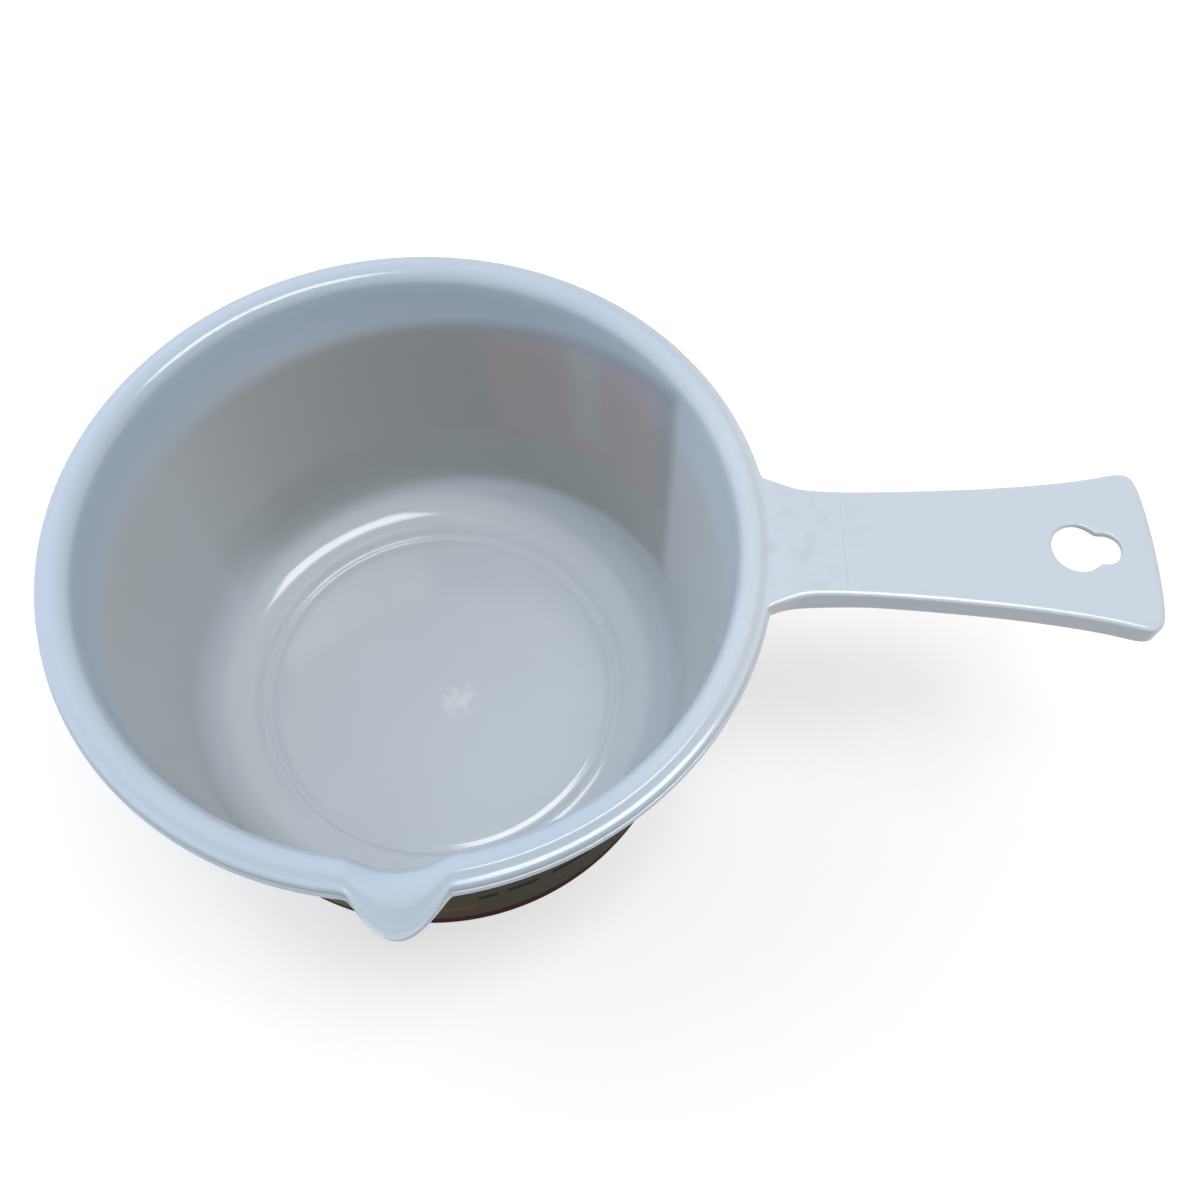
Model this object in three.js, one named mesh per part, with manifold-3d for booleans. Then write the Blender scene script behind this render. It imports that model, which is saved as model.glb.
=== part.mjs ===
// A microwave saucepan moulded in white polypropylene: a tapered bowl with a rolled rim and a pouring
// lip, a flat flared handle that snaps onto the bowl's tang, and two paper labels stuck on the wall.
// Millimetres, +Z up. The origin is the centre of the foot ring on the table. The handle lies along +X.

import * as THREE from 'three';
import { mergeVertices } from 'three/addons/utils/BufferGeometryUtils.js';
import Module from 'manifold-3d';

// Bowl
const HEIGHT = 94; // table to the crest of the rim
const WALL = 2.2; // wall and floor of the moulding
const TAPER = THREE.MathUtils.degToRad(6.3); // lean of the wall, the draft of the mould
const FLOOR_FILLET = 14.5; // inside radius between wall and floor
const FOOT_RECESS = 1.4; // underside of the floor above the table
const FOOT_WIDTH = 3.2; // foot ring, across its foot and outer round
const FOOT_ROUND = 1.2; // outer edge of the foot ring
const GATE_RADIUS = 2; // stub left where the plastic ran into the mould
const GATE_HEIGHT = 0.8;

// Rolled rim
const RIM_RADIUS = 86; // outermost edge
const RIM_INNER_ROUND = 3.5;
const RIM_OUTER_ROUND = 5;
const RIM_SKIRT = 1.8; // thickness of the turned-down lip
const RIM_DEPTH = 6.8; // crest to the lip's lower edge

// Pouring lip
const SPOUT_ANGLE = THREE.MathUtils.degToRad(86.8); // round the rim from the handle
const SPOUT_HALF_WIDTH = 12.5; // along the rim
const SPOUT_REACH = 7; // of the rim's outer edge
const SPOUT_INNER_REACH = 3; // of the wall behind it
const SPOUT_DROP = 3; // of the crest at the lip's middle
const SPOUT_DEPTH = 16; // how far below the crest the wall starts to swell
const SPOUT_CROWDING = 0.72; // draws the facets together near the lip

// Handle
const HANDLE_LENGTH = 89.4; // rim to the tip of the bowed end
const HANDLE_DROP = 0.6; // top of the handle below the crest
const HANDLE_DEPTH = 6.6; // top to the skirt's lower edge
const HANDLE_PLATE = 2.2;
const HANDLE_SKIRT = 2;
const HANDLE_EDGE = 1.2; // round between plate and skirt
const END_BOW = 1.9; // of the end, between its corners
const END_HALF_WIDTH = 22.6; // where a side and the end would meet if the corner were sharp
const END_CORNER = 5;
const FLARE_LENGTH = 25; // how far back from the end the sides turn outwards
const FLARE_SLOPE = 0.3; // of the sides, at the end
const NECK_HALF_WIDTH = 13.7;
const NECK_LENGTH = 11; // rim to where the fillet is over
const ROOT_HALF_WIDTH = 19.8; // where the neck runs into the rim
const ROOT_DEPTH = 3; // how far the neck runs into the rim

// Hanging hole: two round lobes that run into each other
const HOLE_RADIUS = 6.3;
const HOLE_FROM_END = 18.4; // centre of the large lobe
const SLOT_RADIUS = 4.1;
const SLOT_OFFSET = 6.3; // small lobe from the large one, towards the end

// Snap joint between the bowl's tang and the handle
const JOINT_FROM_RIM = 15.5;
const JOINT_GAP = 0.3;
const TANG_LENGTH = 22;
const TANG_THICKNESS = 2;
const BARB_LENGTH = 3;
const BARB_HEIGHT = 1.1;
const CATCH_LENGTH = 3;
const CLEARANCE = 0.3;

// Paper labels, one under the lip and one on the far side
const LABEL_WIDTH = 166;
const LABEL_HEIGHT = 65;
const LABEL_THICKNESS = 0.4;
const LABEL_CLEARANCE = 0.3;
const FRONT_LABEL_TURN = THREE.MathUtils.degToRad(-88); // its middle, round the wall from the handle
const FRONT_LABEL_LOW = 2.2; // middle of its lower edge above the table
const FRONT_LABEL_SKEW = THREE.MathUtils.degToRad(-2); // stuck on askew
const BACK_LABEL_TURN = THREE.MathUtils.degToRad(92);
const BACK_LABEL_LOW = 12.2;
const BACK_LABEL_SKEW = THREE.MathUtils.degToRad(-5.9);

// Fineness of the facets
const BOWL_SIDES = 80;
const HOLE_SIDES = 24;
const OUTLINE_STEPS = 8; // along each curve of the handle's outline
const EDGE_STEPS = 2; // across the round of the handle's edge
const LABEL_STEPS = [44, 5]; // along and up a label
const ARC_STEP = THREE.MathUtils.degToRad(18); // largest turn between two facets of the bowl's profile

const wasm = await Module();
wasm.setup();

// A closed geometry as a solid that can be joined and cut
function solidOf(geometry) {
  geometry.deleteAttribute('normal');
  geometry.deleteAttribute('uv');
  const merged = mergeVertices(geometry);
  const corners = merged.index.array;
  const triangles = [];
  for (let i = 0; i < corners.length; i += 3) {
    const [a, b, c] = corners.slice(i, i + 3);
    if (a !== b && b !== c && c !== a) triangles.push(a, b, c);
  }
  const vertProperties = new Float32Array(merged.attributes.position.array);
  const triVerts = new Uint32Array(triangles);
  return new wasm.Manifold(new wasm.Mesh({ numProp: 3, vertProperties, triVerts }));
}

function geometryOf(solid) {
  const mesh = solid.getMesh();
  const geometry = new THREE.BufferGeometry();
  geometry.setAttribute('position', new THREE.BufferAttribute(mesh.vertProperties, 3));
  geometry.setIndex(new THREE.BufferAttribute(mesh.triVerts, 1));
  geometry.computeVertexNormals();
  return geometry;
}

// A box between two corners
function block(low, high) {
  const box = new THREE.Box3(new THREE.Vector3(...low), new THREE.Vector3(...high));
  const size = box.getSize(new THREE.Vector3());
  const centre = box.getCenter(new THREE.Vector3());
  return solidOf(new THREE.BoxGeometry(size.x, size.y, size.z).translate(centre.x, centre.y, centre.z));
}

function arc(centre, radius, from, to) {
  const steps = Math.ceil(Math.abs(to - from) / ARC_STEP);
  const points = [];
  for (let i = 0; i <= steps; i += 1) {
    const angle = from + ((to - from) * i) / steps;
    points.push(new THREE.Vector2(
      centre.x + radius * Math.cos(angle),
      centre.y + radius * Math.sin(angle),
    ));
  }
  return points;
}

// The wall, seen in section: x is the radius and y the height
const floorTop = FOOT_RECESS + WALL;
const rimLow = HEIGHT - RIM_DEPTH;
const rimInner = new THREE.Vector2(RIM_RADIUS - RIM_OUTER_ROUND, HEIGHT - RIM_INNER_ROUND);
const rimOuter = new THREE.Vector2(RIM_RADIUS - RIM_OUTER_ROUND, HEIGHT - RIM_OUTER_ROUND);
const wallTop = new THREE.Vector2(
  rimInner.x - RIM_INNER_ROUND * Math.cos(TAPER),
  rimInner.y + RIM_INNER_ROUND * Math.sin(TAPER),
);
const insideRadius = (z) => wallTop.x - (wallTop.y - z) * Math.tan(TAPER);
const outsideRadius = (z) => insideRadius(z) + WALL / Math.cos(TAPER);

// Facets gather round the lip, which needs the finer ones
function crowdFacets(angle) {
  const fromSpout = angle + SPOUT_ANGLE;
  return angle - SPOUT_CROWDING * Math.sin(fromSpout);
}

// A profile turned about the Z axis
function turned(profile) {
  const geometry = new THREE.LatheGeometry(profile, BOWL_SIDES, Math.PI / 2 - SPOUT_ANGLE);
  geometry.rotateX(Math.PI / 2);
  const position = geometry.attributes.position;
  for (let i = 0; i < position.count; i += 1) {
    const radius = Math.hypot(position.getX(i), position.getY(i));
    const angle = crowdFacets(Math.atan2(position.getY(i), position.getX(i)));
    position.setXY(i, radius * Math.cos(angle), radius * Math.sin(angle));
  }
  return geometry;
}

function bowlProfile() {
  const slopeFoot = new THREE.Vector2(0, floorTop + FLOOR_FILLET);
  const filletTop = slopeFoot.y - FLOOR_FILLET * Math.sin(TAPER);
  slopeFoot.x = insideRadius(filletTop) - FLOOR_FILLET * Math.cos(TAPER);
  const footInner = outsideRadius(0) - FOOT_WIDTH;
  const underRadius = FLOOR_FILLET + WALL;
  const footAngle = -Math.acos((footInner - slopeFoot.x) / underRadius);
  const channelTop = rimInner.y;
  return [
    new THREE.Vector2(0, FOOT_RECESS - GATE_HEIGHT),
    new THREE.Vector2(GATE_RADIUS, FOOT_RECESS - GATE_HEIGHT),
    new THREE.Vector2(GATE_RADIUS, FOOT_RECESS),
    ...arc(slopeFoot, underRadius, -Math.PI / 2, footAngle),
    new THREE.Vector2(footInner, 0),
    new THREE.Vector2(outsideRadius(0) - FOOT_ROUND, 0),
    new THREE.Vector2(outsideRadius(FOOT_ROUND), FOOT_ROUND),
    new THREE.Vector2(outsideRadius(HEIGHT - SPOUT_DEPTH), HEIGHT - SPOUT_DEPTH),
    new THREE.Vector2(outsideRadius(HEIGHT - SPOUT_DEPTH / 2), HEIGHT - SPOUT_DEPTH / 2),
    new THREE.Vector2(outsideRadius(channelTop), channelTop),
    ...arc(rimOuter, RIM_OUTER_ROUND - RIM_SKIRT, Math.PI / 2, 0),
    new THREE.Vector2(RIM_RADIUS - RIM_SKIRT, rimLow),
    new THREE.Vector2(RIM_RADIUS, rimLow),
    ...arc(rimOuter, RIM_OUTER_ROUND, 0, Math.PI / 2),
    ...arc(rimInner, RIM_INNER_ROUND, Math.PI / 2, Math.PI - TAPER).slice(1),
    new THREE.Vector2(insideRadius(HEIGHT - SPOUT_DEPTH / 2), HEIGHT - SPOUT_DEPTH / 2),
    new THREE.Vector2(insideRadius(HEIGHT - SPOUT_DEPTH), HEIGHT - SPOUT_DEPTH),
    ...arc(slopeFoot, FLOOR_FILLET, -TAPER, -Math.PI / 2),
    new THREE.Vector2(0, floorTop),
  ];
}

// The lip: rim and upper wall pushed outwards and down, most at the rim
function drawSpout(geometry) {
  const position = geometry.attributes.position;
  const point = new THREE.Vector3();
  for (let i = 0; i < position.count; i += 1) {
    point.fromBufferAttribute(position, i);
    const radius = Math.hypot(point.x, point.y);
    const angle = Math.atan2(point.y, point.x) + SPOUT_ANGLE;
    const across = (angle * RIM_RADIUS) / SPOUT_HALF_WIDTH;
    if (Math.abs(across) >= 1) continue;
    const shape = (1 - across ** 2) ** 2;
    const outwards = THREE.MathUtils.mapLinear(radius, wallTop.x, RIM_RADIUS, 0, 1);
    const reach = THREE.MathUtils.lerp(SPOUT_INNER_REACH, SPOUT_REACH, Math.max(outwards, 0));
    const swelling = THREE.MathUtils.smoothstep(point.z, HEIGHT - SPOUT_DEPTH, rimLow);
    const scale = 1 + (reach * shape * swelling) / radius;
    const drop = SPOUT_DROP * shape * THREE.MathUtils.smoothstep(point.z, rimLow, HEIGHT);
    position.setXYZ(i, point.x * scale, point.y * scale, point.z - drop);
  }
  return geometry;
}

// Handle and neck in plan, drawn in from the outside by an inset
const handleEnd = RIM_RADIUS + HANDLE_LENGTH;
const neckEnd = RIM_RADIUS + NECK_LENGTH;
const rootEdge = RIM_RADIUS - ROOT_DEPTH;

function handleOutline(inset) {
  const half = END_HALF_WIDTH - inset;
  const neck = NECK_HALF_WIDTH - inset;
  const root = ROOT_HALF_WIDTH - inset;
  const corner = END_CORNER - inset;
  const shoulder = handleEnd - END_BOW - inset;
  const side = new THREE.Vector2(shoulder - corner, half - corner * FLARE_SLOPE);
  const flare = new THREE.Vector2(side.x - FLARE_LENGTH, side.y - FLARE_LENGTH * FLARE_SLOPE);
  const neckTurn = (rootEdge + neckEnd) / 2;
  const shape = new THREE.Shape();
  shape.moveTo(rootEdge, -root);
  shape.quadraticCurveTo(neckTurn, -neck, neckEnd, -neck);
  shape.quadraticCurveTo(flare.x, -flare.y, side.x, -side.y);
  shape.quadraticCurveTo(shoulder, -half, shoulder, corner - half);
  shape.quadraticCurveTo(shoulder + 2 * END_BOW, 0, shoulder, half - corner);
  shape.quadraticCurveTo(shoulder, half, side.x, side.y);
  shape.quadraticCurveTo(flare.x, flare.y, neckEnd, neck);
  shape.quadraticCurveTo(neckTurn, neck, rootEdge, root);
  return shape;
}

// Values that the tang, the barb and the catch share, measured from the handle's top
const joint = RIM_RADIUS + JOINT_FROM_RIM;
const tang = {
  tip: joint + TANG_LENGTH,
  half: NECK_HALF_WIDTH - HANDLE_SKIRT - CLEARANCE,
  top: -HANDLE_PLATE - CLEARANCE,
  low: -HANDLE_PLATE - CLEARANCE - TANG_THICKNESS,
};
const catchEnd = tang.tip - BARB_LENGTH - CLEARANCE;
const beyond = 2 * handleEnd; // clear of the whole part

// Neck and handle as one bar with its top at z = 0, from inside the rim to the handle's end
function handleBar() {
  const bar = new THREE.ExtrudeGeometry(handleOutline(HANDLE_EDGE), {
    depth: HANDLE_DEPTH,
    curveSegments: OUTLINE_STEPS,
    bevelThickness: HANDLE_EDGE,
    bevelSize: HANDLE_EDGE,
    bevelSegments: EDGE_STEPS,
  }).translate(0, 0, -HANDLE_DEPTH - HANDLE_EDGE);
  const below = block([0, -beyond, -beyond], [beyond, beyond, -HANDLE_DEPTH]);
  return solidOf(bar).subtract(below);
}

// The same bar hollowed from below to an inverted channel
function handleChannel() {
  const hollow = new THREE.ExtrudeGeometry(handleOutline(HANDLE_SKIRT), {
    depth: HANDLE_DEPTH,
    curveSegments: OUTLINE_STEPS,
    bevelEnabled: false,
  }).translate(0, 0, -HANDLE_DEPTH - HANDLE_PLATE);
  return handleBar().subtract(solidOf(hollow));
}

// The barb under the tang's tip, with a ramp towards the tip
function barbSolid() {
  const barb = new THREE.Shape();
  barb.moveTo(tang.tip, tang.top);
  barb.lineTo(tang.tip - BARB_LENGTH, tang.top);
  barb.lineTo(tang.tip - BARB_LENGTH, tang.low - BARB_HEIGHT);
  barb.lineTo(tang.tip - BARB_LENGTH / 2, tang.low - BARB_HEIGHT);
  barb.lineTo(tang.tip, tang.low);
  const geometry = new THREE.ExtrudeGeometry(barb, { depth: tang.half, bevelEnabled: false });
  return solidOf(geometry.translate(0, 0, -tang.half / 2).rotateX(Math.PI / 2));
}

// Bowl, rim and lip with the neck's stub and the tang that carries the handle
function bowlSolid() {
  const shell = solidOf(drawSpout(turned(bowlProfile())));
  const stubEnd = joint - JOINT_GAP / 2;
  const outboard = block([stubEnd, -beyond, -beyond], [beyond, beyond, beyond]);
  const stub = handleChannel().subtract(outboard);
  const tongue = block([rootEdge, -tang.half, tang.low], [tang.tip, tang.half, tang.top]);
  const bridge = block([rootEdge, -tang.half, tang.low], [stubEnd, tang.half, -HANDLE_EDGE]);
  const neck = stub.add(bridge).add(tongue).add(barbSolid());
  return shell.add(neck.translate(0, 0, HEIGHT - HANDLE_DROP));
}

// Grip with the catch that the barb snaps behind, and the hanging hole
function handleSolid() {
  const inboard = block([0, -beyond, -beyond], [joint + JOINT_GAP / 2, beyond, beyond]);
  const catchBar = block(
    [catchEnd - CATCH_LENGTH, -beyond, -beyond],
    [catchEnd, beyond, tang.low - CLEARANCE],
  ).intersect(handleBar());
  const lobe = (radius, x) => solidOf(
    new THREE.CylinderGeometry(radius, radius, beyond, HOLE_SIDES).rotateX(Math.PI / 2).translate(x, 0, 0),
  );
  const holeCentre = handleEnd - HOLE_FROM_END;
  return handleChannel()
    .subtract(inboard)
    .add(catchBar)
    .subtract(lobe(HOLE_RADIUS, holeCentre))
    .subtract(lobe(SLOT_RADIUS, holeCentre + SLOT_OFFSET));
}

// A flat sheet rolled onto the tapered wall, as paper lies on a cone: its straight edges rise at both ends
function labelSolid(turn, low, skew) {
  const sheet = new THREE.BoxGeometry(LABEL_WIDTH, LABEL_HEIGHT, LABEL_THICKNESS, ...LABEL_STEPS, 1);
  sheet.translate(0, 0, LABEL_CLEARANCE + LABEL_THICKNESS / 2).rotateZ(skew);
  const middle = low + (LABEL_HEIGHT / 2) * Math.cos(TAPER);
  const slant = outsideRadius(middle) / Math.sin(TAPER); // from the cone's apex to the sheet's middle
  const position = sheet.attributes.position;
  const point = new THREE.Vector3();
  for (let i = 0; i < position.count; i += 1) {
    point.fromBufferAttribute(position, i);
    const reach = Math.hypot(point.x, slant + point.y);
    const angle = turn + Math.atan2(point.x, slant + point.y) / Math.sin(TAPER);
    const radius = reach * Math.sin(TAPER) + point.z * Math.cos(TAPER);
    const height = middle + (reach - slant) * Math.cos(TAPER) - point.z * Math.sin(TAPER);
    position.setXYZ(i, radius * Math.cos(angle), radius * Math.sin(angle), height);
  }
  return solidOf(sheet);
}

const polypropylene = new THREE.MeshStandardMaterial({ color: '#dde4ec', roughness: 0.22, metalness: 0 });
const paper = new THREE.MeshStandardMaterial({ color: '#8c8b83', roughness: 0.6, metalness: 0 });

function named(name, solid, material) {
  const mesh = new THREE.Mesh(geometryOf(solid), material);
  mesh.name = name;
  return mesh;
}

const handle = named('handle', handleSolid(), polypropylene);
handle.position.z = HEIGHT - HANDLE_DROP;
const frontLabel = labelSolid(FRONT_LABEL_TURN, FRONT_LABEL_LOW, FRONT_LABEL_SKEW);
const backLabel = labelSolid(BACK_LABEL_TURN, BACK_LABEL_LOW, BACK_LABEL_SKEW);

const saucepan = new THREE.Group();
saucepan.add(named('bowl', bowlSolid(), polypropylene));
saucepan.add(handle);
saucepan.add(named('front_label', frontLabel, paper));
saucepan.add(named('back_label', backLabel, paper));

export default saucepan;
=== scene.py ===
import math

import bpy
from mathutils import Matrix, Vector


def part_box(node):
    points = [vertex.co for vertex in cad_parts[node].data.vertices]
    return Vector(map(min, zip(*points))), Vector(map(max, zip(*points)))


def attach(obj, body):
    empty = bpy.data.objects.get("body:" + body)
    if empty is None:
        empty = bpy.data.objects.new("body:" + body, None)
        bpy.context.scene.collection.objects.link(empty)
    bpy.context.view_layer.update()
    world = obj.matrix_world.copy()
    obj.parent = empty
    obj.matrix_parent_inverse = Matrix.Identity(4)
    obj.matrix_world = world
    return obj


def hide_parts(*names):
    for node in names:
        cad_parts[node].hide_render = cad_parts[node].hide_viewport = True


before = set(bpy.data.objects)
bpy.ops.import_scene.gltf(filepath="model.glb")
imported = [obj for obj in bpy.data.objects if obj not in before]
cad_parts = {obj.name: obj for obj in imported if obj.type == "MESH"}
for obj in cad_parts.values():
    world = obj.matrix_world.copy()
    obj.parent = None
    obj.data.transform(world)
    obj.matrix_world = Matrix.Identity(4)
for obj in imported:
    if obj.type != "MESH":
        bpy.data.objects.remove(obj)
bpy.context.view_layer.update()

# The bowl: a tapered cup of white polypropylene, injection moulded in one shot through a gate under its floor.
# Its rim is rolled over into a hollow bead, drawn out into a pouring lip, and carries the short neck of the handle
# with a tongue that the handle is pushed onto.

MM = 0.001
bowl_low, bowl_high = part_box("bowl")
handle_low, handle_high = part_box("handle")
rim_radius = -bowl_low.x / MM
rim_top = bowl_high.z / MM
tongue_tip = bowl_high.x / MM
handle_end = handle_high.x / MM
handle_top = handle_high.z / MM
handle_bottom = handle_low.z / MM
half_joint_gap = 0.15
joint = handle_low.x / MM - half_joint_gap

bowl_columns = 120
wall = 2.2
taper = math.radians(6.3)
floor_top = 3.6
floor_fillet = 14.5
foot_recess = 1.4
foot_width = 3.2
gate_radius = 2.0
rim_inner_round = 4.2
rim_skirt = 2.8
rim_bottom = rim_top - 5.6


def arc(centre, radius, start, end, steps):
    """Cage points for a round stretch, set outside it by as much as the subdivision pulls them in."""
    step = math.radians(end - start) / steps
    reach = radius * 3 / (2 + math.cos(step))
    angles = [math.radians(start) + step * i for i in range(steps + 1)]
    return [(centre[0] + reach * math.cos(a), centre[1] + reach * math.sin(a)) for a in angles]


inner_centre = (rim_radius - 4.8, rim_top - rim_inner_round)
wall_top = (rim_radius - 8.7, rim_top - 2.5)


def inside_radius(height):
    return wall_top[0] - (wall_top[1] - height) * math.tan(taper)


def outside_radius(height):
    return inside_radius(height) + wall / math.cos(taper)


fillet_height = floor_top + floor_fillet
fillet_centre = (inside_radius(fillet_height) - floor_fillet / math.cos(taper), fillet_height)
foot_outer = outside_radius(0)
foot_inner = foot_outer - foot_width
skirt_inner = rim_radius - rim_skirt
channel_top = rim_top - wall - 0.6

underside = [
    (gate_radius, foot_recess - 0.8),
    (gate_radius + 0.2, foot_recess - 0.1),
    (fillet_centre[0] - 6, foot_recess),
    *arc(fillet_centre, floor_fillet + wall, -90, -48, 2),
    (foot_inner, 5.6),
    (foot_inner, 0.8),
    (foot_inner + 0.1, 0),
    (foot_outer - 0.8, 0),
    (outside_radius(0.9), 0.9),
]
outer_wall = [(outside_radius(z), z) for z in (3, 68, 78, channel_top - 3)]
rim_hollow = [
    (outside_radius(channel_top) + 0.2, channel_top),
    (rim_radius - 3.6, channel_top + 0.5),
    (skirt_inner - 0.3, channel_top - 0.6),
    (skirt_inner, rim_bottom + 1.2),
    (skirt_inner + 0.1, rim_bottom),
]
rim_side = [
    (rim_radius - 0.7, rim_bottom - 0.05),
    (rim_radius - 0.3, rim_bottom + 0.7),
    (rim_radius - 0.25, rim_bottom + 1.75),
    (rim_radius - 0.45, rim_bottom + 2.45),
    (rim_radius - 0.95, rim_bottom + 2.2),
    (rim_radius - 0.9, rim_bottom + 3.2),
    (rim_radius - 0.9, rim_bottom + 4.2),
    (rim_radius - 1.3, rim_top - 0.8),
]
rim_roll = [
    (rim_radius - 2.2, rim_top - 0.85),
    (rim_radius - 3.1, rim_top - 0.42),
    (rim_radius - 3.9, rim_top - 0.02),
    (rim_radius - 4.25, rim_top + 0.03),
    *arc(inner_centre, rim_inner_round, 98, 168, 3),
]
inner_wall = [(inside_radius(z), z) for z in (85, 68, 25)]
floor_corner = arc(fillet_centre, floor_fillet, -6.3, -90, 4)
floor_ring = [
    (52.0, floor_top + 0.8),
    (50.9, floor_top - 0.8),
    (48.9, floor_top + 0.1),
    (46.5, floor_top),
    (3.4, floor_top),
    (2.6, floor_top + 0.15),
]
profile = [
    *underside, *outer_wall, *rim_hollow, *rim_side, *rim_roll, *inner_wall, *floor_corner, *floor_ring,
]

bpy.ops.object.select_all(action="DESELECT")
bpy.ops.mesh.primitive_circle_add(
    vertices=bowl_columns, radius=profile[0][0] * MM, fill_type="NGON", location=(0, 0, profile[0][1] * MM)
)
bowl = bpy.context.object
bowl.name = "polypropylene_bowl"
bpy.ops.object.transform_apply(location=True, rotation=True, scale=True)
bpy.ops.object.mode_set(mode="EDIT")
bpy.ops.mesh.select_mode(type="EDGE")
bpy.ops.mesh.select_all(action="SELECT")
for (radius, height), (next_radius, next_height) in zip(profile, profile[1:]):
    bpy.ops.mesh.extrude_edges_move(
        TRANSFORM_OT_translate={"value": (0, 0, (next_height - height) * MM)}
    )
    grow = next_radius / radius
    bpy.ops.transform.resize(value=(grow, grow, 1), center_override=(0, 0, 0))
bpy.ops.mesh.edge_face_add()
bpy.ops.mesh.select_all(action="SELECT")
bpy.ops.mesh.normals_make_consistent(inside=False)


def select(kind, test):
    """Selects the parts of the edited mesh that pass the test: VERT by place, EDGE by both ends, FACE by normal too."""
    mesh = bpy.context.object.data
    bpy.ops.mesh.select_mode(type=kind)
    bpy.ops.mesh.select_all(action="DESELECT")
    bpy.ops.object.mode_set(mode="OBJECT")
    places = [vertex.co / MM for vertex in mesh.vertices]
    if kind == "VERT":
        for vertex in mesh.vertices:
            vertex.select = test(places[vertex.index])
    elif kind == "EDGE":
        for edge in mesh.edges:
            edge.select = test(places[edge.vertices[0]], places[edge.vertices[1]])
    else:
        for face in mesh.polygons:
            face.select = test(face.center / MM, face.normal)
    bpy.ops.object.mode_set(mode="EDIT")


def azimuth(place):
    return math.degrees(math.atan2(place.y, place.x))


# Neck and grip are drawn out of the rim's outer side in one go, so that their surfaces run on across the joint.
# Their sides are plain, so the rim's shoulder and ledge end at the neck and its rows are spaced evenly there.
neck_root_columns = 4
neck_root_azimuth = neck_root_columns * 360 / bowl_columns
neck_half_width = 13.7
neck_low_half_widths = (15.3, 14.9, 14.6, 14.2)
neck_crease = 0.6
handle_half_width = 22.0
handle_bow = 2.6
rim_side_depth = 1.7
turned_in = -0.5
margin = 0.1
smooth_levels = 2
grip_steps = [
    (88.4, 15.7), (91.8, 14.4), (96.5, 14.0), (104.5, 14.1), (110.0, 14.3), (118.0, 14.7), (128.0, 15.4),
    (138.0, 16.2), (148.0, 17.3), (157.0, 18.6), (164.5, 20.1), (170.0, 21.7), (handle_end - handle_bow, 20.8),
]
grip_middle = (handle_top + handle_bottom) / 2


def draw_out(steps, place, half_width):
    """Extrudes the selected faces along the handle step by step, each flattened and set to its half width."""
    for next_place, next_half_width in steps:
        bpy.ops.mesh.extrude_region_move(TRANSFORM_OT_translate={"value": ((next_place - place) * MM, 0, 0)})
        bpy.ops.transform.resize(
            value=(0, next_half_width / half_width, 1), center_override=(next_place * MM, 0, grip_middle * MM)
        )
        place, half_width = next_place, next_half_width


grip_rows = [height for radius, height in rim_side]
select(
    "FACE",
    lambda p, n: abs(azimuth(p)) < neck_root_azimuth
    and rim_bottom < p.z < grip_rows[-1] - margin
    and p.xy.length > rim_radius - rim_side_depth
    and n.x > turned_in,
)
draw_out(grip_steps, rim_radius, rim_radius * math.sin(math.radians(neck_root_azimuth)))
row_gap = (handle_top - handle_bottom) / (len(grip_rows) - 1)
bpy.ops.object.mode_set(mode="OBJECT")
for vertex in bowl.data.vertices:
    if vertex.co.x / MM > grip_steps[0][0] - margin:
        offsets = [abs(vertex.co.z / MM - height) for height in grip_rows]
        row = offsets.index(min(offsets))
        vertex.co.y *= rim_radius / rim_side[row][0]
        vertex.co.z = (handle_bottom + row_gap * row) * MM
bpy.ops.object.mode_set(mode="EDIT")
select(
    "EDGE",
    lambda a, b: all(
        abs(abs(azimuth(p)) - neck_root_azimuth) < margin
        and p.xy.length > rim_radius - rim_side_depth
        and rim_bottom - margin < p.z < grip_rows[-1] + margin
        for p in (a, b)
    ),
)
bpy.ops.transform.edge_crease(value=neck_crease)
select("VERT", lambda p: p.x > handle_end - handle_bow - margin and abs(p.y) < margin)
bpy.ops.transform.translate(
    value=(handle_bow * MM, 0, 0),
    use_proportional_edit=True,
    proportional_edit_falloff="SPHERE",
    proportional_size=handle_half_width * MM,
)
bpy.ops.object.mode_set(mode="OBJECT")

# Towards the rim the neck's top spreads more than its lower edges, which run almost straight on.
for vertex in bowl.data.vertices:
    spot = vertex.co / MM
    drop = min(max((handle_top - spot.z) / (handle_top - handle_bottom), 0), 1)
    for (station, half), low_half in zip(grip_steps, neck_low_half_widths):
        if abs(spot.x - station) < margin:
            vertex.co.y *= 1 + (low_half / half - 1) * drop
bpy.ops.object.modifier_add(type="SUBSURF")
bowl.modifiers[-1].levels = smooth_levels
bowl.modifiers[-1].render_levels = smooth_levels
bpy.ops.object.modifier_apply(modifier=bowl.modifiers[-1].name)

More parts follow.
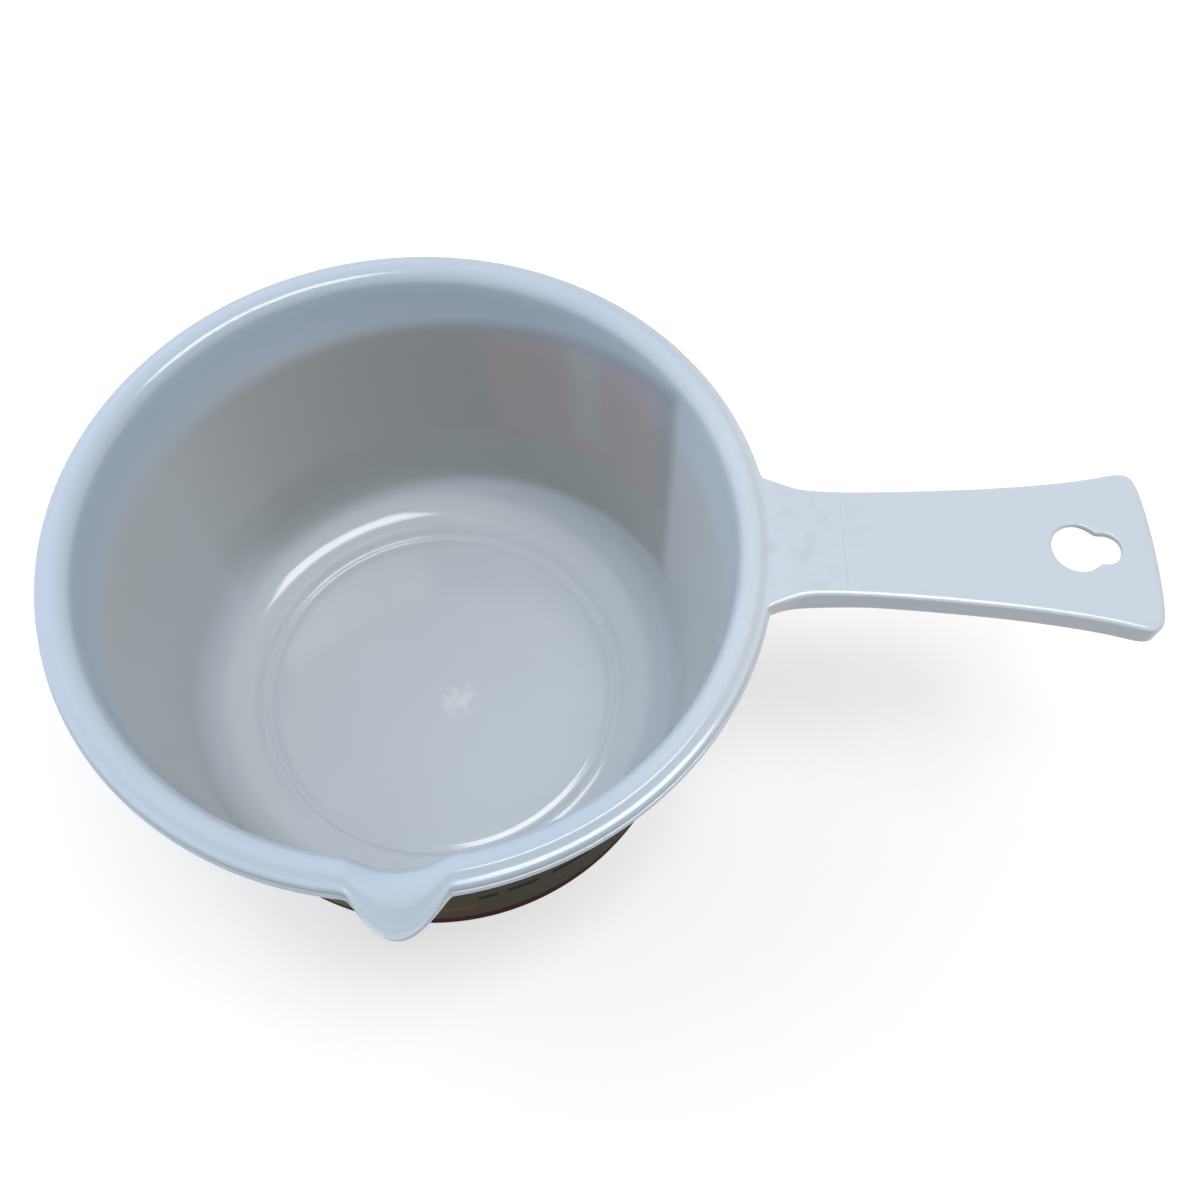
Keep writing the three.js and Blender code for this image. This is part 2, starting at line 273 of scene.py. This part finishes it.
# The lip is drawn out of the rim: its inner edge a little, its outer side far, and its crest sinks as it goes out.
lip_azimuth = math.radians(-86.8)
lip_half_width = 10.8
lip_roundness = 1.2
lip_reach = 8.2
lip_inner_reach = 3.0
lip_drop = 2.4
lip_droop = 1.6
lip_depth = 16.0
lip_crest = 1.0
lip_out = Vector((math.cos(lip_azimuth), math.sin(lip_azimuth), 0))
lip_along = Vector((-lip_out.y, lip_out.x, 0))
for vertex in bowl.data.vertices:
    spot = vertex.co / MM
    across = spot.dot(lip_along) / lip_half_width
    sink = max((rim_top - spot.z) / lip_depth, 0)
    if spot.dot(lip_out) < 0 or abs(across) > 1 or sink > 1:
        continue
    swell = (1 - across ** 2) ** lip_roundness * (1 - sink ** 2) ** 2
    outer = min(max((spot.xy.length - wall_top[0]) / (rim_radius - wall_top[0]), 0), 1)
    reach = lip_inner_reach + (lip_reach - lip_inner_reach) * outer
    if spot.xy.length > rim_radius - rim_side_depth and spot.z < rim_top - lip_crest:
        reach += rim_radius - spot.xy.length
    drop = lip_drop * outer + lip_droop * outer ** 4
    vertex.co += (lip_out * reach + Vector((0, 0, -drop))) * swell * MM

# The grip is cut off at the joint, where a fine line shows. The bowl keeps the neck.
seam = 0.012
cut_threshold = 1e-7
bpy.ops.object.duplicate()
handle = bpy.context.object
handle.name = "polypropylene_handle"


def cut_across(piece, place, keep_bowl_side):
    """Cuts a piece square across at a place along the handle, drops one side and closes the cut."""
    bpy.ops.object.select_all(action="DESELECT")
    bpy.context.view_layer.objects.active = piece
    piece.select_set(True)
    bpy.ops.object.mode_set(mode="EDIT")
    bpy.ops.mesh.select_all(action="SELECT")
    bpy.ops.mesh.bisect(
        plane_co=(place * MM, 0, 0),
        plane_no=(1, 0, 0),
        use_fill=True,
        clear_outer=keep_bowl_side,
        clear_inner=not keep_bowl_side,
        threshold=cut_threshold,
    )
    bpy.ops.object.mode_set(mode="OBJECT")


def combine(piece, tool, operation):
    """Cuts the tool out of the piece, or joins it on, and takes the tool away."""
    bpy.ops.object.select_all(action="DESELECT")
    bpy.context.view_layer.objects.active = piece
    piece.select_set(True)
    bpy.ops.object.modifier_add(type="BOOLEAN")
    piece.modifiers[-1].operation = operation
    piece.modifiers[-1].solver = "EXACT"
    piece.modifiers[-1].object = tool
    bpy.ops.object.modifier_apply(modifier=piece.modifiers[-1].name)
    bpy.data.objects.remove(tool)


cut_across(handle, joint + seam, False)
cut_across(bowl, joint - seam, True)

# The tongue grows out of the neck's end and has a barb under its tip.
tongue_half_width = 11.4
tongue_thickness = 2.0
tongue_below_top = 2.5
tongue_into_neck = 4.0
tongue_top = handle_top - tongue_below_top
tongue_low = tongue_top - tongue_thickness
tongue_root = joint - tongue_into_neck
barb_length = 3.0
barb_height = 1.1
barb_taper = 0.5
squarely = 0.9
smooth_angle = math.radians(40)
bpy.ops.object.select_all(action="DESELECT")
bpy.ops.mesh.primitive_cube_add(
    size=MM,
    location=((tongue_root + tongue_tip) / 2 * MM, 0, (tongue_low + tongue_top) / 2 * MM),
    scale=(tongue_tip - tongue_root, 2 * tongue_half_width, tongue_top - tongue_low),
)
tongue = bpy.context.object
bpy.ops.object.transform_apply(location=True, rotation=True, scale=True)
bpy.ops.object.mode_set(mode="EDIT")
bpy.ops.mesh.select_all(action="SELECT")
bpy.ops.mesh.bisect(
    plane_co=((tongue_tip - barb_length) * MM, 0, 0), plane_no=(1, 0, 0), threshold=cut_threshold
)
select("FACE", lambda p, n: n.z < -squarely and p.x > tongue_tip - barb_length)
bpy.ops.mesh.extrude_region_move(TRANSFORM_OT_translate={"value": (0, 0, -barb_height * MM)})
bpy.ops.transform.resize(
    value=(barb_taper, barb_taper, 1), center_override=((tongue_tip - barb_length) * MM, 0, 0)
)
bpy.ops.object.mode_set(mode="OBJECT")
combine(bowl, tongue, "UNION")
bpy.ops.object.shade_smooth_by_angle(angle=smooth_angle)


def linear(code):
    """The linear colour of an sRGB hex code."""
    parts = [int(code[i:i + 2], 16) / 255 for i in (1, 3, 5)]
    return [c / 12.92 if c <= 0.04045 else ((c + 0.055) / 1.055) ** 2.4 for c in parts] + [1]


def node(tree, kind, inputs=(), **settings):
    """Adds a node with its settings; inputs are (socket, value or output to link)."""
    made = tree.nodes.new(kind)
    for name, value in settings.items():
        setattr(made, name, value)
    for socket, value in inputs:
        if isinstance(value, bpy.types.NodeSocket):
            tree.links.new(value, made.inputs[socket])
        else:
            made.inputs[socket].default_value = value
    return made


def ramp(tree, value, start, end, low, high):
    """A soft change from the low level to the high one, as a value goes from start to end."""
    span = [(0, value), (1, start), (2, end), (3, low), (4, high)]
    return node(tree, "ShaderNodeMapRange", span, interpolation_type="SMOOTHSTEP").outputs[0]


def times(tree, first, second):
    """The product of two shares."""
    return node(tree, "ShaderNodeMath", [(0, first), (1, second)], operation="MULTIPLY").outputs[0]


def blend(tree, share, colour, over):
    """A colour with another laid over it by a share."""
    mixed = [(0, share), (6, colour), (7, over)]
    return node(tree, "ShaderNodeMix", mixed, data_type="RGBA").outputs[2]


# The label's print, in millimetres from the middle of the flat sheet: plain blocks and bars of colour.
label_width = 166.0
label_height = 65.0
label_pales_from = 10.0
# The dark field is the label's own grey print, darkened further by painted shade, as the front label lies in shade
# under the rim.
label_dark_with_shade = "#4d4b3f"
label_pale = "#a4a397"
label_border = ((0, -28.0), (166, 9.0), "#3a0d09")
label_prints = {
    "front_label": [
        ((8, -8), (12, 5), "#775026"),
        ((17, 4), (5, 4.5), "#1d1c19"),
        ((26, 5), (8, 4.5), "#1d1c19"),
        ((39, 5), (11, 4.5), "#1d1c19"),
        ((53, 4), (8, 4.5), "#1d1c19"),
    ],
    "back_label": [
        ((0, -21), (168, 22), "#6b6a59"),
        ((46, 10), (58, 40), "#8c5046"),
        ((48, 13), (10, 34), "#908d79"),
    ],
}


def inside_block(tree, place, middle, size, soft):
    """1 where a place on the sheet lies inside a rectangle, 0 outside, with an edge of the given softness."""
    off = node(tree, "ShaderNodeVectorMath", [(0, place), (1, (*middle, 0))], operation="SUBTRACT")
    far = node(tree, "ShaderNodeVectorMath", [(0, off.outputs[0])], operation="ABSOLUTE")
    half = (size[0] / 2, size[1] / 2, 0)
    past = node(tree, "ShaderNodeVectorMath", [(0, far.outputs[0]), (1, half)], operation="SUBTRACT")
    parts = node(tree, "ShaderNodeSeparateXYZ", [(0, past.outputs[0])])
    most = node(tree, "ShaderNodeMath", [(0, parts.outputs[0]), (1, parts.outputs[1])], operation="MAXIMUM")
    return ramp(tree, most.outputs[0], -soft, soft, 1.0, 0.0)


def printed(tree, place, soft, blocks):
    """The colour of the label's print at a place on the flat sheet: its field is paler towards one end."""
    parts = node(tree, "ShaderNodeSeparateXYZ", [(0, place)])
    paler = ramp(tree, parts.outputs[0], label_pales_from, -label_width / 2, 0.0, 1.0)
    colour = blend(tree, paler, linear(label_dark_with_shade), linear(label_pale))
    for middle, size, ink in blocks:
        colour = blend(tree, inside_block(tree, place, middle, size, soft), colour, linear(ink))
    return colour


# White polypropylene from a polished mould: a cool white, glossy, and a little translucent, so that a label on the far
# side of the wall darkens it. Fine scuffs dull the gloss, and the melt's flow leaves it faintly cloudy.
polypropylene = bpy.data.materials.new("white_polypropylene_moulded")
polypropylene.use_nodes = True
tree = polypropylene.node_tree
shader = tree.nodes["Principled BSDF"]
polypropylene_ior = 1.49
shader.inputs["IOR"].default_value = polypropylene_ior
spot = node(tree, "ShaderNodeTexCoord").outputs["Object"]
cloud_size = 45 * MM
cloud = node(tree, "ShaderNodeTexNoise", [("Vector", spot), ("Scale", 1 / cloud_size), ("Detail", 3.0)])
colour = blend(tree, cloud.outputs[0], linear("#c6d0db"), linear("#d0dae4"))
# Painted light: the rim and the top of the inner wall are tinted with the bluish sky light that falls on them, less
# towards the handle.
rim_sky_blue_light = "#adc2da"
sky_blue_light_share = 0.46
along, _, up = node(tree, "ShaderNodeSeparateXYZ", [(0, spot)]).outputs
height = ramp(tree, up, 68 * MM, 88 * MM, 0.0, sky_blue_light_share)
off_handle = ramp(tree, along, 35 * MM, 85 * MM, 1.0, 0.0)
colour = blend(tree, times(tree, height, off_handle), colour, linear(rim_sky_blue_light))
# Painted shade: a warm grey is laid over the inside, a little on the floor and more up the walls, where more shade
# falls; it fades out below the rim.
wall_shade_grey = "#bfbcae"
floor_grey_share, wall_shade_share = 0.12, 0.4
above_floor = ramp(tree, up, 8 * MM, 24 * MM, floor_grey_share, wall_shade_share)
below_rim = ramp(tree, up, 68 * MM, 82 * MM, 1.0, 0.0)
colour = blend(tree, times(tree, above_floor, below_rim), colour, linear(wall_shade_grey))
# Painted shade: a label behind the wall holds back the light that comes through it, so its print shows on the inside,
# blurred, and least towards the pale end of its print.
wall_lets_through = 0.38
edge_blur = 3.0
print_blur = 4.0
pale_end, inked_from, pale_end_share = -92.0, -50.0, 0.1
for label_name, blocks in label_prints.items():
    behind = node(tree, "ShaderNodeAttribute", attribute_name=label_name + "_behind").outputs["Vector"]
    through = inside_block(tree, behind, (0, 0), (label_width, label_height), edge_blur)
    across, _, within = node(tree, "ShaderNodeSeparateXYZ", [(0, behind)]).outputs
    inked = ramp(tree, across, pale_end, inked_from, pale_end_share, 1.0)
    seen = times(tree, times(tree, through, times(tree, within, inked)), wall_lets_through)
    colour = blend(tree, seen, colour, printed(tree, behind, print_blur, blocks))
# A pale swirl shows where the melt came in, and hands and hooks have left grey rubs where the neck joins the rim.
gate_mark = Vector((5.4, -4.5, floor_top)) * MM
rubbed_place = Vector((91, 0, handle_top)) * MM
# Each mark has its middle, the distances at which it is full and gone, its grain, all in millimetres, its colour, the
# levels of noise where it starts and is full, and its strength.
marks = [
    (gate_mark, 1.5, 8.0, 4.5, "#eef2f6", 0.42, 0.62, 0.5),
    (rubbed_place, 4.0, 30.0, 5.0, "#9fa4a6", 0.40, 0.80, 0.2),
]
for middle, full, gone, grain, ink, low, high, strength in marks:
    off = node(tree, "ShaderNodeVectorMath", [(0, spot), (1, middle)], operation="DISTANCE").outputs["Value"]
    near = ramp(tree, off, full * MM, gone * MM, strength, 0.0)
    smear = [("Vector", spot), ("Scale", 1 / (grain * MM)), ("Detail", 4.0), ("Distortion", 0.4)]
    smear = node(tree, "ShaderNodeTexNoise", smear).outputs[0]
    patch = ramp(tree, smear, low, high, 0.0, 1.0)
    colour = blend(tree, times(tree, near, patch), colour, linear(ink))
tree.links.new(colour, shader.inputs["Base Color"])
scuff_size = 1.4 * MM
polished, scuffed = 0.08, 0.15
scuff = node(tree, "ShaderNodeTexNoise", [("Vector", spot), ("Scale", 1 / scuff_size), ("Detail", 4.0)])
dull = [(0, scuff.outputs[0]), (1, 0.35), (2, 0.75), (3, polished), (4, scuffed)]
tree.links.new(node(tree, "ShaderNodeMapRange", dull).outputs[0], shader.inputs["Roughness"])
wave_size = 14 * MM
wave_height = 0.03 * MM
wave = node(tree, "ShaderNodeTexNoise", [("Vector", spot), ("Scale", 1 / wave_size), ("Detail", 1.0)])
rise = [("Height", wave.outputs[0]), ("Strength", 1.0), ("Distance", wave_height)]
tree.links.new(node(tree, "ShaderNodeBump", rise).outputs[0], shader.inputs["Normal"])
bowl.data.materials.append(polypropylene)
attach(bowl, "root")
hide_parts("bowl")

# The handle: a flat grip of the same polypropylene, moulded as an upside-down channel with a keyhole to hang it by.
# It is pushed over the bowl's tongue until the barb snaps behind a bar across the channel.

handle_plate = 2.2
handle_skirt = 2.0
past_surface = 1.0
channel_lead = 3.0
channel_half_width = neck_half_width - handle_skirt
channel_depth = handle_top - handle_plate - handle_bottom + past_surface
channel_end_round = 1.0
channel_end_half_width = 17.0
first_past_joint = 4
bpy.ops.object.select_all(action="DESELECT")
bpy.ops.mesh.primitive_cube_add(
    size=MM,
    location=(joint * MM, 0, (handle_bottom - past_surface) * MM),
    scale=(2 * channel_lead, 2 * channel_half_width, 2 * channel_depth),
)
channel = bpy.context.object
bpy.ops.object.transform_apply(location=True, rotation=True, scale=True)
bpy.ops.object.mode_set(mode="EDIT")
select("FACE", lambda p, n: n.x > squarely)
channel_steps = [(place, half - handle_skirt) for place, half in grip_steps[first_past_joint:-1]]
channel_steps += [(handle_end - handle_skirt - channel_end_round, channel_end_half_width)]
draw_out(channel_steps, joint + channel_lead, channel_half_width)
bpy.ops.object.mode_set(mode="OBJECT")
combine(handle, channel, "DIFFERENCE")

# The bar that the barb snaps behind stands across the channel, clear of the tongue, with its lower edges rounded.
catch_length = 3.0
catch_gap = 0.3
catch_above_edge = 0.4
catch_into_skirt = 1.0
catch_round = 0.4
catch_end = tongue_tip - barb_length - catch_gap
catch_top = tongue_low - catch_gap
catch_bottom = handle_bottom + catch_above_edge
bpy.ops.object.select_all(action="DESELECT")
bpy.ops.mesh.primitive_cube_add(
    size=MM,
    location=((catch_end - catch_length / 2) * MM, 0, (catch_top + catch_bottom) / 2 * MM),
    scale=(catch_length, 2 * (neck_half_width - catch_into_skirt), catch_top - catch_bottom),
)
catch = bpy.context.object
bpy.ops.object.transform_apply(location=True, rotation=True, scale=True)
bpy.ops.object.mode_set(mode="EDIT")
select("EDGE", lambda a, b: max(a.z, b.z) < grip_middle)
bpy.ops.mesh.bevel(offset=catch_round * MM, segments=2, affect="EDGES")
bpy.ops.object.mode_set(mode="OBJECT")
combine(handle, catch, "UNION")

# The keyhole's cutter is drawn round its outline: a wide lobe and a narrow one, joined by two soft shoulders.
# Its top is flared, so that the hole gets a rounded rim, and it is wider below, where the plate is thinned.
hole_radius = 6.3
hole_from_end = 18.4
hole_place = handle_end - hole_from_end
slot_radius = 4.1
slot_offset = 6.3
shoulder_radius = 1.8
hole_round = 0.5
hole_thinned = 1.12
hole_overshoot = 3.0
hole_points, slot_points, shoulder_points = 40, 24, 8


def round_about(centre, radius, start, end, steps):
    """Points along a round stretch from one direction to another."""
    angles = [start + (end - start) * i / steps for i in range(steps + 1)]
    return [Vector((centre[0] + radius * math.cos(a), centre[1] + radius * math.sin(a))) for a in angles]


wide, narrow = hole_radius + shoulder_radius, slot_radius + shoulder_radius
shoulder_x = (slot_offset ** 2 + wide ** 2 - narrow ** 2) / (2 * slot_offset)
shoulder_y = math.sqrt(wide ** 2 - shoulder_x ** 2)
wide_turn = math.atan2(shoulder_y, shoulder_x)
narrow_turn = math.atan2(shoulder_y, shoulder_x - slot_offset)
upper_shoulder = (hole_place + shoulder_x, shoulder_y)
lower_shoulder = (hole_place + shoulder_x, -shoulder_y)
keyhole_outline = [
    *round_about((hole_place, 0), hole_radius, wide_turn, 2 * math.pi - wide_turn, hole_points),
    *round_about(
        lower_shoulder, shoulder_radius, math.pi - wide_turn, math.pi - narrow_turn, shoulder_points
    )[1:],
    *round_about((hole_place + slot_offset, 0), slot_radius, -narrow_turn, narrow_turn, slot_points)[1:],
    *round_about(
        upper_shoulder, shoulder_radius, math.pi + narrow_turn, math.pi + wide_turn, shoulder_points
    )[1:-1],
]
first = keyhole_outline[0]
height, flare = handle_bottom - hole_overshoot, hole_thinned
bpy.ops.object.select_all(action="DESELECT")
bpy.ops.mesh.primitive_plane_add(size=MM, location=(first.x * MM, first.y * MM, height * MM))
keyhole = bpy.context.object
bpy.ops.object.transform_apply(location=True, rotation=True, scale=True)
bpy.ops.object.mode_set(mode="EDIT")
bpy.ops.mesh.select_mode(type="VERT")
bpy.ops.mesh.select_all(action="SELECT")
bpy.ops.mesh.merge(type="CENTER")
for before, after in zip(keyhole_outline, keyhole_outline[1:]):
    step = (after - before) * MM
    bpy.ops.mesh.extrude_vertices_move(TRANSFORM_OT_translate={"value": (step.x, step.y, 0)})
bpy.ops.mesh.select_all(action="SELECT")
bpy.ops.mesh.edge_face_add()
keyhole_middle = ((hole_place + slot_offset / 3) * MM, 0, 0)
bpy.ops.transform.resize(value=(flare, flare, 1), center_override=keyhole_middle)
keyhole_steps = [
    (1.1, flare), (1.0, 1.0), (hole_round, 1.0), (0.25, 1.01), (0.1, 1.03), (0.0, 1.07), (-hole_overshoot, 1.07),
]
for below_top, next_flare in keyhole_steps:
    next_height = handle_top - below_top
    bpy.ops.mesh.extrude_region_move(TRANSFORM_OT_translate={"value": (0, 0, (next_height - height) * MM)})
    widen = next_flare / flare
    bpy.ops.transform.resize(value=(widen, widen, 1), center_override=keyhole_middle)
    height, flare = next_height, next_flare
bpy.ops.mesh.select_all(action="SELECT")
bpy.ops.mesh.normals_make_consistent(inside=False)
bpy.ops.object.mode_set(mode="OBJECT")
combine(handle, keyhole, "DIFFERENCE")
handle_smooth_angle = math.radians(32)
bpy.ops.object.shade_smooth_by_angle(angle=handle_smooth_angle)
handle.data.materials.append(polypropylene)
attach(handle, "root")
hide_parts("handle")

# The labels: two rectangles of coated paper, printed and stuck on the outside of the wall, one in front and one behind.
# Paper lies on the cone without stretching, so the straight edges of each sheet rise towards its ends.

label_thickness = 0.12
label_off_wall = 0.08
label_grid = (96, 24)
print_edge = 0.1
paper_roughness = 0.7
paper_shine = 0.02
wall_from, wall_full = 60, 66
wall_margin = 0.4
half_reach = 2.0
# Each place has the label's turn round the bowl and its skew in degrees, with the height of its lower edge in
# millimetres between them, then the side that the print starts from and how much of it shows through the wall.
label_places = {"front_label": (-88.0, 2.2, -2.0, 1, 0.3), "back_label": (92.0, 12.2, -5.9, -1, 1.0)}


def label_cone(low):
    """The height of a label's middle on the wall, and that middle's distance from the cone's apex."""
    middle = low + label_height / 2 * math.cos(taper)
    return middle, outside_radius(middle) / math.sin(taper)


for name, (turn, low, skew, print_side, cling) in label_places.items():
    middle, slant = label_cone(low)
    tilt = Matrix.Rotation(math.radians(skew), 2)
    bpy.ops.object.select_all(action="DESELECT")
    bpy.ops.mesh.primitive_grid_add(x_subdivisions=label_grid[0], y_subdivisions=label_grid[1], size=1)
    label = bpy.context.object
    label.name = "paper_" + name
    sheet = label.data.attributes.new("place_on_sheet", "FLOAT_VECTOR", "POINT")
    for vertex in label.data.vertices:
        sheet.data[vertex.index].vector = (
            vertex.co.x * label_width * print_side, vertex.co.y * label_height, 0
        )
        across, up = tilt @ Vector((vertex.co.x * label_width, vertex.co.y * label_height))
        reach = math.hypot(across, slant + up)
        angle = math.radians(turn) + math.atan2(across, slant + up) / math.sin(taper)
        radius = reach * math.sin(taper) + label_off_wall * math.cos(taper)
        height = middle + (reach - slant) * math.cos(taper) - label_off_wall * math.sin(taper)
        vertex.co = Vector((radius * math.cos(angle), radius * math.sin(angle), height)) * MM
    bpy.ops.object.modifier_add(type="SOLIDIFY")
    label.modifiers[-1].thickness = label_thickness * MM
    label.modifiers[-1].offset = 1
    bpy.ops.object.modifier_apply(modifier=label.modifiers[-1].name)
    bpy.ops.object.shade_smooth_by_angle(angle=smooth_angle)
    # Coated paper, printed in flat inks: smooth but almost without shine, with a dark border along its lower edge.
    coated_paper = bpy.data.materials.new("coated_paper_printed_" + name)
    coated_paper.use_nodes = True
    tree = coated_paper.node_tree
    shader = tree.nodes["Principled BSDF"]
    shader.inputs["Roughness"].default_value = paper_roughness
    shader.inputs["Specular IOR Level"].default_value = paper_shine
    place = node(tree, "ShaderNodeAttribute", attribute_name="place_on_sheet").outputs["Vector"]
    ink = printed(tree, place, print_edge, [*label_prints[name], label_border])
    tree.links.new(ink, shader.inputs["Base Color"])
    label.data.materials.append(coated_paper)
    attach(label, "root")
    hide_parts(name)

    # The inner wall remembers which place of the flat sheet lies behind it.
    behind = bowl.data.attributes.new(name + "_behind", "FLOAT_VECTOR", "POINT")
    untilt = tilt.transposed()
    for vertex in bowl.data.vertices:
        spot = vertex.co / MM
        reach = slant + (spot.z - middle) / math.cos(taper)
        angle = math.atan2(spot.y, spot.x) - math.radians(turn)
        angle = (angle + math.pi) % (2 * math.pi) - math.pi
        turned = angle * math.sin(taper)
        flat = untilt @ Vector((reach * math.sin(turned), reach * math.cos(turned) - slant))
        radius = spot.xy.length
        near_label = abs(turned) < half_reach * math.sin(taper)
        inside = floor_top < spot.z and radius < inside_radius(spot.z) + wall_margin
        on_wall = min(max((radius - wall_from) / (wall_full - wall_from), 0), 1)
        within = cling * on_wall if near_label and inside else 0
        behind.data[vertex.index].vector = (flat.x * print_side, flat.y, within)

# The room: a plain pale floor under a soft lamp and a broad fill from the left, with a camera above the near side of
# the pan. Floor and surroundings are whiter to the camera than the light that they give.

floor_size = 6
floor_roughness = 0.9
floor_glow_level = 0.52
bpy.ops.object.select_all(action="DESELECT")
bpy.ops.mesh.primitive_plane_add(size=floor_size)
ground = bpy.context.object
ground.name = "pale_floor"
floor_paint = bpy.data.materials.new("matt_white_floor")
floor_paint.use_nodes = True
floor_shader = floor_paint.node_tree.nodes["Principled BSDF"]
floor_shader.inputs["Base Color"].default_value = linear("#c6c6c4")
floor_shader.inputs["Roughness"].default_value = floor_roughness
floor_shader.inputs["Emission Color"].default_value = (1, 1, 1, 1)


def seen_directly(tree, level):
    """The given level for rays from the camera, by way of gloss or glass too, and 0 for the light on the pan."""
    path = node(tree, "ShaderNodeLightPath")
    rays = [path.outputs[name] for name in ("Is Camera Ray", "Is Glossy Ray", "Is Transmission Ray")]
    seen = node(tree, "ShaderNodeMath", [(0, rays[0]), (1, rays[1])], operation="MAXIMUM").outputs[0]
    seen = node(tree, "ShaderNodeMath", [(0, seen), (1, rays[2])], operation="MAXIMUM").outputs[0]
    return times(tree, seen, level)


floor_glow = seen_directly(floor_paint.node_tree, floor_glow_level)
floor_paint.node_tree.links.new(floor_glow, floor_shader.inputs["Emission Strength"])
ground.data.materials.append(floor_paint)

world = bpy.data.worlds.new("soft_room_light")
bpy.context.scene.world = world
world.use_nodes = True
room_light = 0.42
sky = world.node_tree.nodes["Background"]
sky.inputs["Color"].default_value = (1, 1, 1, 1)
raised = [(0, seen_directly(world.node_tree, 1 - room_light)), (1, room_light)]
raised = node(world.node_tree, "ShaderNodeMath", raised, operation="ADD").outputs[0]
world.node_tree.links.new(raised, sky.inputs["Strength"])


def lamp(name, place, turn, size, power, colour):
    """A flat soft lamp aimed at the pan, with its long side turned to a compass direction."""
    light = bpy.data.lights.new(name, "AREA")
    light.shape = "RECTANGLE"
    light.size, light.size_y = size
    light.energy = power
    light.color = linear(colour)[:3]
    shade = bpy.data.objects.new(name, light)
    bpy.context.collection.objects.link(shade)
    shade.location = place
    back = Vector(place).normalized()
    along = Vector((math.cos(math.radians(turn)), math.sin(math.radians(turn)), 0))
    along = (along - back * along.dot(back)).normalized()
    shade.rotation_euler = Matrix((along, back.cross(along), back)).transposed().to_euler()
    return shade


# The glint hangs in the lamp's own place and adds to its reflections only. The fill adds none.
overhead_place, overhead_turn, overhead_size = (0.28, -0.085, 1.15), 35, (0.62, 0.36)
lamp_power, glint_power, fill_power = 5.0, 9.0, 7.0
fill_place, fill_turn, fill_size = (-0.8, 0.35, 0.75), 120, (1.2, 1.2)
lamp("overhead_lamp", overhead_place, overhead_turn, overhead_size, lamp_power, "#fffcf8")
glint = lamp("overhead_glint", overhead_place, overhead_turn, overhead_size, glint_power, "#ffffff")
glint.visible_diffuse = False
side_fill = lamp("side_fill", fill_place, fill_turn, fill_size, fill_power, "#e6f0ff")
side_fill.visible_glossy = False

sensor_width = 36
focal_pixels = 1221.2
picture_pixels = 1200
camera = bpy.data.objects.new("camera", bpy.data.cameras.new("camera"))
bpy.context.collection.objects.link(camera)
camera.data.sensor_width = sensor_width
camera.data.lens = sensor_width * focal_pixels / picture_pixels
camera.data.clip_start = 0.01
camera.location = (0.0398, -0.1464, 0.3386)
camera_right = Vector((0.999517, 0.014681, 0.027426))
camera_up = Vector((-0.025771, 0.884550, 0.465744))
camera_back = Vector((-0.017422, -0.466225, 0.884500))
camera.rotation_euler = Matrix((camera_right, camera_up, camera_back)).transposed().to_euler()
bpy.context.scene.camera = camera
bpy.context.scene.view_settings.view_transform = "Standard"
